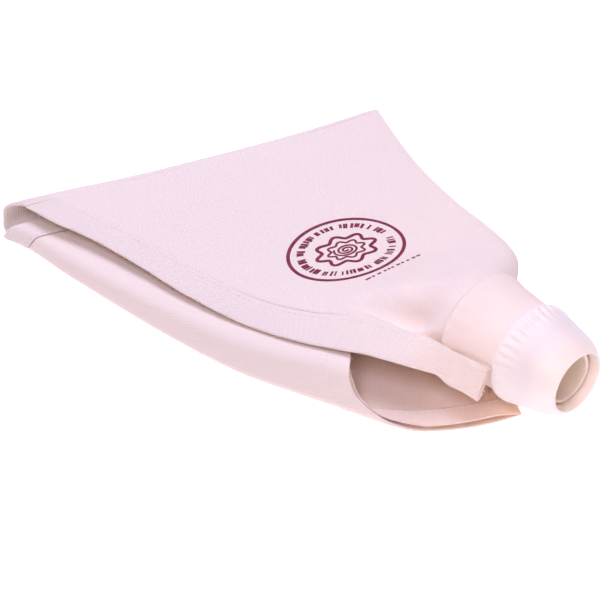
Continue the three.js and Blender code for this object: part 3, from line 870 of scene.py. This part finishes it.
def strip_end_threads():
    """Loose fibres across the strip's cut end, beside the coupler's nut."""
    rng = random.Random(34)
    heading = unit(fell_root(FELL_END) - fell_root(FELL_END - 0.03))
    roots = []
    for _ in range(26):
        across = np.array([rng.uniform(0.8, 12.8)])
        height = np.array([rng.choice([-1, 1]) * rng.uniform(0.62, 1.1)])
        start = fell_section(FELL_END, across, height)[0] - heading * 0.2
        roots.append((start, heading))
    return fibres("strip_end_threads", rng, roots, 1.7)


# -------- the printed mark
PRINT_CENTRE = np.array([-96.2, -4.0])
PRINT_READING = unit([0.184, 0.983])
PRINT_DOWN = np.array([PRINT_READING[1], -PRINT_READING[0]])
PRINT_HALF_LONG = 25.4
PRINT_HALF_SHORT = 20.2
INK = 0.07


def on_print(a, b):
    """Reading direction a and downward direction b, in millimetres, to a plan point."""
    a, b = np.broadcast_arrays(np.asarray(a, float), np.asarray(b, float))
    return PRINT_CENTRE + a[..., None] * PRINT_READING + b[..., None] * PRINT_DOWN


def stroke(path, width, closed):
    """A ribbon about a path, as rows of three plan points, and whether its ends meet."""
    if closed:
        heading = unit(np.roll(path, -1, axis=0) - np.roll(path, 1, axis=0))
    else:
        heading = unit(np.gradient(path, axis=0))
    side = np.stack([-heading[:, 1], heading[:, 0]], axis=-1)
    width = np.broadcast_to(width, len(path))[:, None]
    return np.stack([path - side * width / 2, path, path + side * width / 2], axis=1), closed


def oval(share, turn):
    """A place on the mark's outline, or on a smaller copy of it."""
    return on_print(PRINT_HALF_LONG * share * np.cos(turn), PRINT_HALF_SHORT * share * np.sin(turn))


def rosette(radius, turn):
    return on_print(radius * 1.15 * np.cos(turn), radius * 0.8 * np.sin(turn))


def mark_strokes():
    """An oval band, a ring of plain dashes, a piped rosette and a dashed underline."""
    band = oval(0.98, np.linspace(0, 2 * math.pi, 160, endpoint=False))
    strokes = [stroke(band, 1.5, True)]
    rng = random.Random(8)
    turn = 0.15
    while turn < 2 * math.pi - 0.1:
        lean = rng.uniform(-0.03, 0.03)
        shares = np.linspace(rng.choice([0.70, 0.72]), 0.84, 5)
        tick = oval(shares, turn + lean * shares)
        strokes.append(stroke(tick, rng.choice([0.7, 0.9, 1.2]), False))
        turn += rng.choice([0.07, 0.08, 0.09, 0.17])
    petals = np.linspace(0, 2 * math.pi, 220, endpoint=False)
    for size, line in ((10.6, 1.5), (6.6, 1.0)):
        radius = size * (1 + 0.13 * np.cos(8 * petals))
        strokes.append(stroke(rosette(radius, petals), line, True))
    swirl = np.linspace(0, 5.2 * math.pi, 120)
    radius = 0.4 + 4.4 * swirl / swirl[-1]
    strokes.append(stroke(rosette(radius, swirl), 0.95, False))
    start = -6.0
    while start < 22.0:
        long = rng.choice([1.2, 1.8, 2.6])
        along = np.linspace(start, start + long, 4)
        path = on_print(along, PRINT_HALF_SHORT + 3.0 - 0.12 * along)
        strokes.append(stroke(path, 1.0, False))
        start += long + rng.choice([0.7, 0.7, 1.5])
    return strokes


def printed_mark(cloth):
    """The mark's strokes laid on the upper wall, as thin closed ribbons of ink."""
    tree = BVHTree.FromObject(cloth, bpy.context.evaluated_depsgraph_get())
    runs, looped = [], set()
    for number, (ribbon, closed) in enumerate(mark_strokes()):
        above, below = [], []
        for x, y in ribbon.reshape(-1, 2):
            start = Vector(to_scene([x, y, 100.0]))
            hit, normal, _, _ = tree.ray_cast(start, Vector((0, 0, -1)))
            hit = np.array(hit) / MM - SHIFT
            above.append(hit + np.array(normal) * INK)
            below.append(hit - np.array(normal) * INK)
        above = np.array(above).reshape(-1, 3, 3)
        below = np.array(below).reshape(-1, 3, 3)
        runs.append(np.concatenate([above, below[:, ::-1]], axis=1))
        if closed:
            looped.add(number)
    return tubes("printed_mark", runs, looped, crease=60)


# -------- the coupler
RING_R = 20.0
RING_LENGTH = 25.5
RING_RIBS = 36
RIB_DEPTH = 0.55
THREAD_PITCH = 4.0
# Each thread's root radius, and where its ridge starts, ends and how high it is.
NUT_THREAD_R = 16.7
NUT_THREAD = (1.5, 13.0, 0.9)
CORE_THREAD_R = 15.0
CORE_THREAD = (1.0, 13.6, 1.1)


def lathe(name, profile, angles, offset):
    """A closed profile of (along, radius) turned about the coupler's axis, with a radius offset."""
    turn = np.linspace(0, 2 * math.pi, angles, endpoint=False)
    along, radius, turn = np.broadcast_arrays(profile[:, :1], profile[:, 1:], turn)
    grid = turned_points(along, radius + offset(along, radius, turn), turn)
    return fix_normals(ring_shell(name, grid))


def rounded(profile, radius, steps=5):
    """A closed profile with its corners cut by short arcs."""
    profile = np.asarray(profile, float)
    result = []
    for before, here, after in zip(np.roll(profile, 1, axis=0), profile, np.roll(profile, -1, axis=0)):
        back = min(radius, 0.45 * np.linalg.norm(before - here))
        ahead = min(radius, 0.45 * np.linalg.norm(after - here))
        start = here + unit(before - here) * back
        end = here + unit(after - here) * ahead
        for t in np.linspace(0, 1, steps):
            result.append((1 - t) ** 2 * start + 2 * t * (1 - t) * here + t * t * end)
    return np.array(result)


def refine(profile, step):
    """A closed profile with long edges split."""
    result = []
    for here, after in zip(profile, np.roll(profile, -1, axis=0)):
        pieces = max(1, int(np.linalg.norm(after - here) / step))
        result.extend(lerp(here, after, i / pieces) for i in range(pieces))
    return np.array(result)


def thread_wave(along, turn, start, end, height):
    """A rounded helical ridge between two places on the axis."""
    phase = (along / THREAD_PITCH - turn / (2 * math.pi)) % 1.0
    ridge = np.clip(1 - np.abs(phase - 0.5) / 0.28, 0, 1)
    ridge = ridge * ridge * (3 - 2 * ridge)
    return height * ridge * bump(along, start, (start + end) / 2, end) ** 0.25


def grip_nut():
    outline = [
        [0.4, NUT_THREAD_R], [0.4, RING_R - 0.1], [1.4, RING_R + 0.25], [4.4, RING_R + 0.1],
        [5.8, RING_R - 0.6], [9.5, RING_R - 1.25], [12, RING_R - 1.9], [15.5, RING_R - 2.6],
        [18.5, RING_R - 3.3], [21, RING_R - 4.3], [23, RING_R - 5.5], [24.8, RING_R - 6.8],
        [RING_LENGTH, RING_R - 7.7], [RING_LENGTH - 0.3, 11.75], [RING_LENGTH - 5, 11.4],
        [16.2, 14.2], [13.2, NUT_THREAD_R],
    ]

    def ribs_and_thread(along, radius, turn):
        groove = 1 - smooth(0.5 + 0.5 * np.cos(turn * RING_RIBS), 0.1, 0.9)
        band = smooth(along, 1.3, 2.4) * (1 - smooth(along, 4.0, 10.5))
        outside = radius > NUT_THREAD_R + 0.9
        inside = (np.abs(radius - NUT_THREAD_R) < 0.5) & (along > 1.0) & (along < 13.5)
        ribs = np.where(outside, RIB_DEPTH * groove * band, 0)
        return -ribs - np.where(inside, thread_wave(along, turn, *NUT_THREAD), 0)

    return lathe("grip_nut", refine(rounded(outline, 1.1), 0.55), RING_RIBS * 12, ribs_and_thread)


def coupler_core():
    outline = [
        [-21, 16.2], [-21, 17.8], [-19, 17.8], [-1.5, 16.9], [-0.5, CORE_THREAD_R],
        [14, CORE_THREAD_R], [15, 12.7], [17, 10.75], [21.5, 10.6], [21.5, 9.3],
        [14, 9.2], [6, 12.6], [-2, 14.8],
    ]

    def thread(along, radius, turn):
        outside = (np.abs(radius - CORE_THREAD_R) < 0.4) & (along > -0.4) & (along < 14.2)
        return np.where(outside, thread_wave(along, turn, *CORE_THREAD), 0)

    return lathe("coupler_core", refine(rounded(outline, 0.6), 0.6), 192, thread)


# -------- materials
def material(name):
    """A new material, its tree and shader, and its texture coordinates."""
    m = bpy.data.materials.new(name)
    m.use_nodes = True
    tree = m.node_tree
    coordinates = tree.nodes.new("ShaderNodeTexCoord").outputs
    return m, tree, tree.nodes["Principled BSDF"], coordinates


def wire(tree, target, inputs):
    """Gives a node's own sockets their numbers, colours, or links from other nodes."""
    for name, value in inputs.items():
        socket = target.inputs[name]
        if isinstance(value, bpy.types.NodeSocket):
            tree.links.new(value, socket)
        elif socket.type == "RGBA":
            socket.default_value = (*value, 1.0)
        else:
            socket.default_value = value


def math_node(tree, operation, a, b=0.5, clamp=False):
    n = tree.nodes.new("ShaderNodeMath")
    n.operation = operation
    n.use_clamp = clamp
    wire(tree, n, {0: a, 1: b})
    return n.outputs[0]


def times(tree, a, b):
    return math_node(tree, "MULTIPLY", a, b)


def plus(tree, a, b):
    return math_node(tree, "ADD", a, b)


def mix_colour(tree, factor, first, second):
    n = tree.nodes.new("ShaderNodeMix")
    n.data_type = "RGBA"
    wire(tree, n, {"Factor": factor, "A": first, "B": second})
    return n.outputs["Result"]


def relief(tree, height, strength, depth):
    """A bumped normal from a height, at a depth in millimetres."""
    n = tree.nodes.new("ShaderNodeBump")
    wire(tree, n, {"Strength": strength, "Distance": depth * MM, "Height": height})
    return n.outputs[0]


def noise(tree, vector, scale, detail=3.0, rough=0.55):
    n = tree.nodes.new("ShaderNodeTexNoise")
    wire(tree, n, {"Vector": vector, "Scale": scale, "Detail": detail, "Roughness": rough})
    return n.outputs["Fac"]


TWILL_PITCH = 0.95 * MM
BEAD_PITCH = 0.62 * TWILL_PITCH


def twill_material(name, light, dark, roughness, twill_depth):
    """Cotton twill: raised diagonal lines broken by the crossing threads, with faint slubs."""
    m, tree, shader, coordinates = material(name)
    split = tree.nodes.new("ShaderNodeSeparateXYZ")
    wire(tree, split, {0: coordinates["UV"]})
    wander = noise(tree, coordinates["Object"], 60.0)
    drift = times(tree, math_node(tree, "SUBTRACT", wander, 0.5), 0.9)
    across = times(tree, split.outputs[0], 2 * math.pi / TWILL_PITCH)
    along = times(tree, split.outputs[1], 2 * math.pi / BEAD_PITCH)
    lines = math_node(tree, "SINE", plus(tree, across, drift))
    beads = math_node(tree, "SINE", plus(tree, along, times(tree, across, 0.5)))
    weave = plus(tree, lines, times(tree, beads, 0.28))
    slub = noise(tree, coordinates["Object"], 900.0, 2.0)
    cloudy = noise(tree, coordinates["Object"], 22.0)
    shade = times(tree, plus(tree, lines, 1.0), 0.5)
    tint = mix_colour(tree, shade, dark, light)
    wire(tree, shader, {
        "Base Color": mix_colour(tree, cloudy, tint, light),
        "Normal": relief(tree, plus(tree, weave, times(tree, slub, 0.9)), twill_depth, 0.08),
        "Roughness": plus(tree, times(tree, slub, 0.12), roughness - 0.06),
        "Specular IOR Level": 0.25,
        "Sheen Weight": 0.1,
        "Sheen Roughness": 0.45,
        "Sheen Tint": (0.97, 0.93, 1.0),
    })
    return m


def thread_material():
    m, tree, shader, coordinates = material("cotton_thread")
    fine = noise(tree, coordinates["Object"], 2600.0, 2.0)
    wire(tree, shader, {
        "Base Color": mix_colour(tree, fine, (0.88, 0.74, 0.62), (0.95, 0.80, 0.68)),
        "Normal": relief(tree, fine, 0.4, 0.05),
        "Roughness": 0.7,
        "Sheen Weight": 0.1,
    })
    return m


def ink_material():
    """Print that is thin in patches, over the cloth's weave."""
    m, tree, shader, coordinates = material("print_ink")
    patchy = noise(tree, coordinates["Object"], 260.0, 4.0, 0.7)
    thin = math_node(tree, "MULTIPLY", math_node(tree, "SUBTRACT", patchy, 0.48), 3.2, clamp=True)
    wire(tree, shader, {
        "Base Color": mix_colour(tree, thin, (0.19, 0.0, 0.014), (0.34, 0.02, 0.06)),
        "Normal": relief(tree, noise(tree, coordinates["Object"], 1400.0, 2.0), 0.3, 0.05),
        "Roughness": 0.6,
    })
    return m


def plastic_material(name, colour, depth_colour, subsurface):
    """Milky polypropylene with a faint flow mottle and moulding texture."""
    m, tree, shader, coordinates = material(name)
    mottle = noise(tree, coordinates["Object"], 90.0, 3.0)
    grain = noise(tree, coordinates["Object"], 1100.0, 2.0)
    wavy = noise(tree, coordinates["Object"], 130.0, 1.0)
    wire(tree, shader, {
        "Base Color": mix_colour(tree, mottle, colour, depth_colour),
        "Normal": relief(tree, plus(tree, times(tree, grain, 0.15), wavy), 0.25, 0.12),
        "Roughness": plus(tree, times(tree, grain, 0.10), 0.30),
        "Subsurface Weight": subsurface,
        "Subsurface Radius": (1.0, 0.9, 0.85),
        "Subsurface Scale": 7.0 * MM,
        "IOR": 1.49,
        "Specular IOR Level": 0.3,
    })
    return m


def floor_material():
    m, tree, shader, coordinates = material("pale_floor")
    faint = noise(tree, coordinates["Object"], 3.0)
    wire(tree, shader, {
        "Base Color": mix_colour(tree, faint, (0.93, 0.93, 0.93), (0.95, 0.95, 0.95)),
        "Roughness": 0.9,
        "Emission Color": (0.86, 0.86, 1.0),
        "Emission Strength": 0.58,
    })
    return m


# -------- camera, light and floor
CAMERA_AT = np.array([314.8, -366.7, 530.8])
CAMERA_RIGHT = np.array([0.6718, 0.7390, -0.0519])
CAMERA_UP = np.array([-0.4975, 0.5019, 0.7075])
CAMERA_LENS = 111.6
FLOOR_REACH = 30.0
FLOOR_DROP = 0.0002
STUDIO_BLUE = (0.58, 0.645, 1.0)


def add_camera():
    camera = bpy.data.objects.new("camera", bpy.data.cameras.new("camera"))
    right = Vector(unit(CAMERA_RIGHT))
    back = right.cross(Vector(CAMERA_UP)).normalized()
    up = back.cross(right)
    turn = Matrix((right, up, back)).transposed().to_4x4()
    camera.matrix_world = Matrix.Translation(Vector(to_scene(CAMERA_AT))) @ turn
    camera.data.lens = CAMERA_LENS
    camera.data.sensor_width = 36
    camera.data.clip_start = 0.01
    bpy.context.scene.collection.objects.link(camera)
    bpy.context.scene.camera = camera


def area_light(name, place, target, size, power, colour, spread=180):
    light = bpy.data.objects.new(name, bpy.data.lights.new(name, "AREA"))
    light.data.spread = math.radians(spread)
    light.visible_camera = False
    light.data.energy = power
    light.data.size = size
    light.data.color = colour
    light.location = Vector(to_scene(place))
    aim = Vector(to_scene(target)) - light.location
    light.rotation_euler = aim.to_track_quat("-Z", "Y").to_euler()
    bpy.context.scene.collection.objects.link(light)


def add_stage():
    scene = bpy.context.scene
    mesh = bpy.data.meshes.new("floor")
    corners = [(-1, -1), (1, -1), (1, 1), (-1, 1)]
    points = [(x * FLOOR_REACH, y * FLOOR_REACH, -FLOOR_DROP) for x, y in corners]
    mesh.from_pydata(points, [], [(0, 1, 2, 3)])
    floor = bpy.data.objects.new("floor", mesh)
    floor.data.materials.append(floor_material())
    scene.collection.objects.link(floor)
    world = bpy.data.worlds.new("studio")
    world.use_nodes = True
    sky = world.node_tree.nodes["Background"]
    wire(world.node_tree, sky, {"Color": (1.0, 0.62, 0.36), "Strength": 0.24})
    scene.world = world
    middle = (-90, -10, 10)
    area_light("front", (200, -450, 850), middle, 0.6, 6.6, STUDIO_BLUE)
    area_light("back", (-450, 250, 850), middle, 0.5, 9.0, STUDIO_BLUE)
    area_light("near", (230, -215, 300), (20, 2, 28), 0.06, 0.0105, (1.0, 0.68, 0.50), 25)
    scene.view_settings.view_transform = "Standard"


# -------- assembly
def dress(obj, look, body):
    obj.data.materials.clear()
    obj.data.materials.append(look)
    if body:
        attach(obj, body)
    return obj


add_camera()
add_stage()

cotton = twill_material("cotton_twill", (0.93, 0.76, 0.615), (0.88, 0.71, 0.565), 0.72, 0.6)
lining = twill_material("cotton_twill_mouth", (0.93, 0.755, 0.60), (0.90, 0.73, 0.575), 0.72, 0.3)
# Painted shade: a darker, browner copy of the cotton for the faces inside the roll and the tube, which
# lie in shadow.
painted_shade_cotton = twill_material("cotton_twill_painted_shade", (0.86, 0.65, 0.49), (0.82, 0.61, 0.45), 0.7, 0.3)
fell_cotton = twill_material("cotton_twill_strip", (0.93, 0.77, 0.62), (0.84, 0.67, 0.53), 0.74, 0.7)
thread = thread_material()

mouth = dress(mouth_cloth(), lining, "mouth_half")
# The faces inside the roll and the tube get the painted shade.
paint_roll_shade(mouth, painted_shade_cotton)
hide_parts("mouth_half_cloth")
mouth_strip = dress(mouth_fell(), fell_cotton, "mouth_half")
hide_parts("mouth_seam_fell")

fold = dress(fold_cloth(), cotton, None)
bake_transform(fold)
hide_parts("fold_web_cloth")
fold_strip = dress(fold_fell(), fell_cotton, None)
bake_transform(fold_strip)

tip = dress(tip_cloth(), cotton, "tip_half")
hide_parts("tip_half_cloth")
tip_strip = dress(tip_fell(), fell_cotton, "tip_half")
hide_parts("tip_seam_fell")

sewn = dress(tip_stitches(), thread, "tip_half")
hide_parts("tip_seam_thread")
sewn = dress(mouth_stitches(), thread, "mouth_half")
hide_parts("mouth_seam_thread")
hem_outer, hem_inner = hem_stitches()
dress(hem_outer, thread, "mouth_half")
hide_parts("mouth_hem_thread")
dress(hem_inner, thread, "mouth_half")
dress(frayed_threads(), thread, "mouth_half")
dress(strip_end_threads(), thread, "tip_half")
dress(printed_mark(tip), ink_material(), "tip_half")

milky = plastic_material("milky_plastic", (0.97, 0.81, 0.68), (0.95, 0.78, 0.65), 0.55)
core_plastic = plastic_material("core_plastic", (1.0, 0.87, 0.68), (1.0, 0.83, 0.64), 0.5)
nut = dress(grip_nut(), milky, "ring_nut")
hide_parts("coupler_ring")
core = dress(coupler_core(), core_plastic, "coupler_base")
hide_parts("coupler_base")


def plain(box):
    return [[float(x) for x in corner] for corner in box]
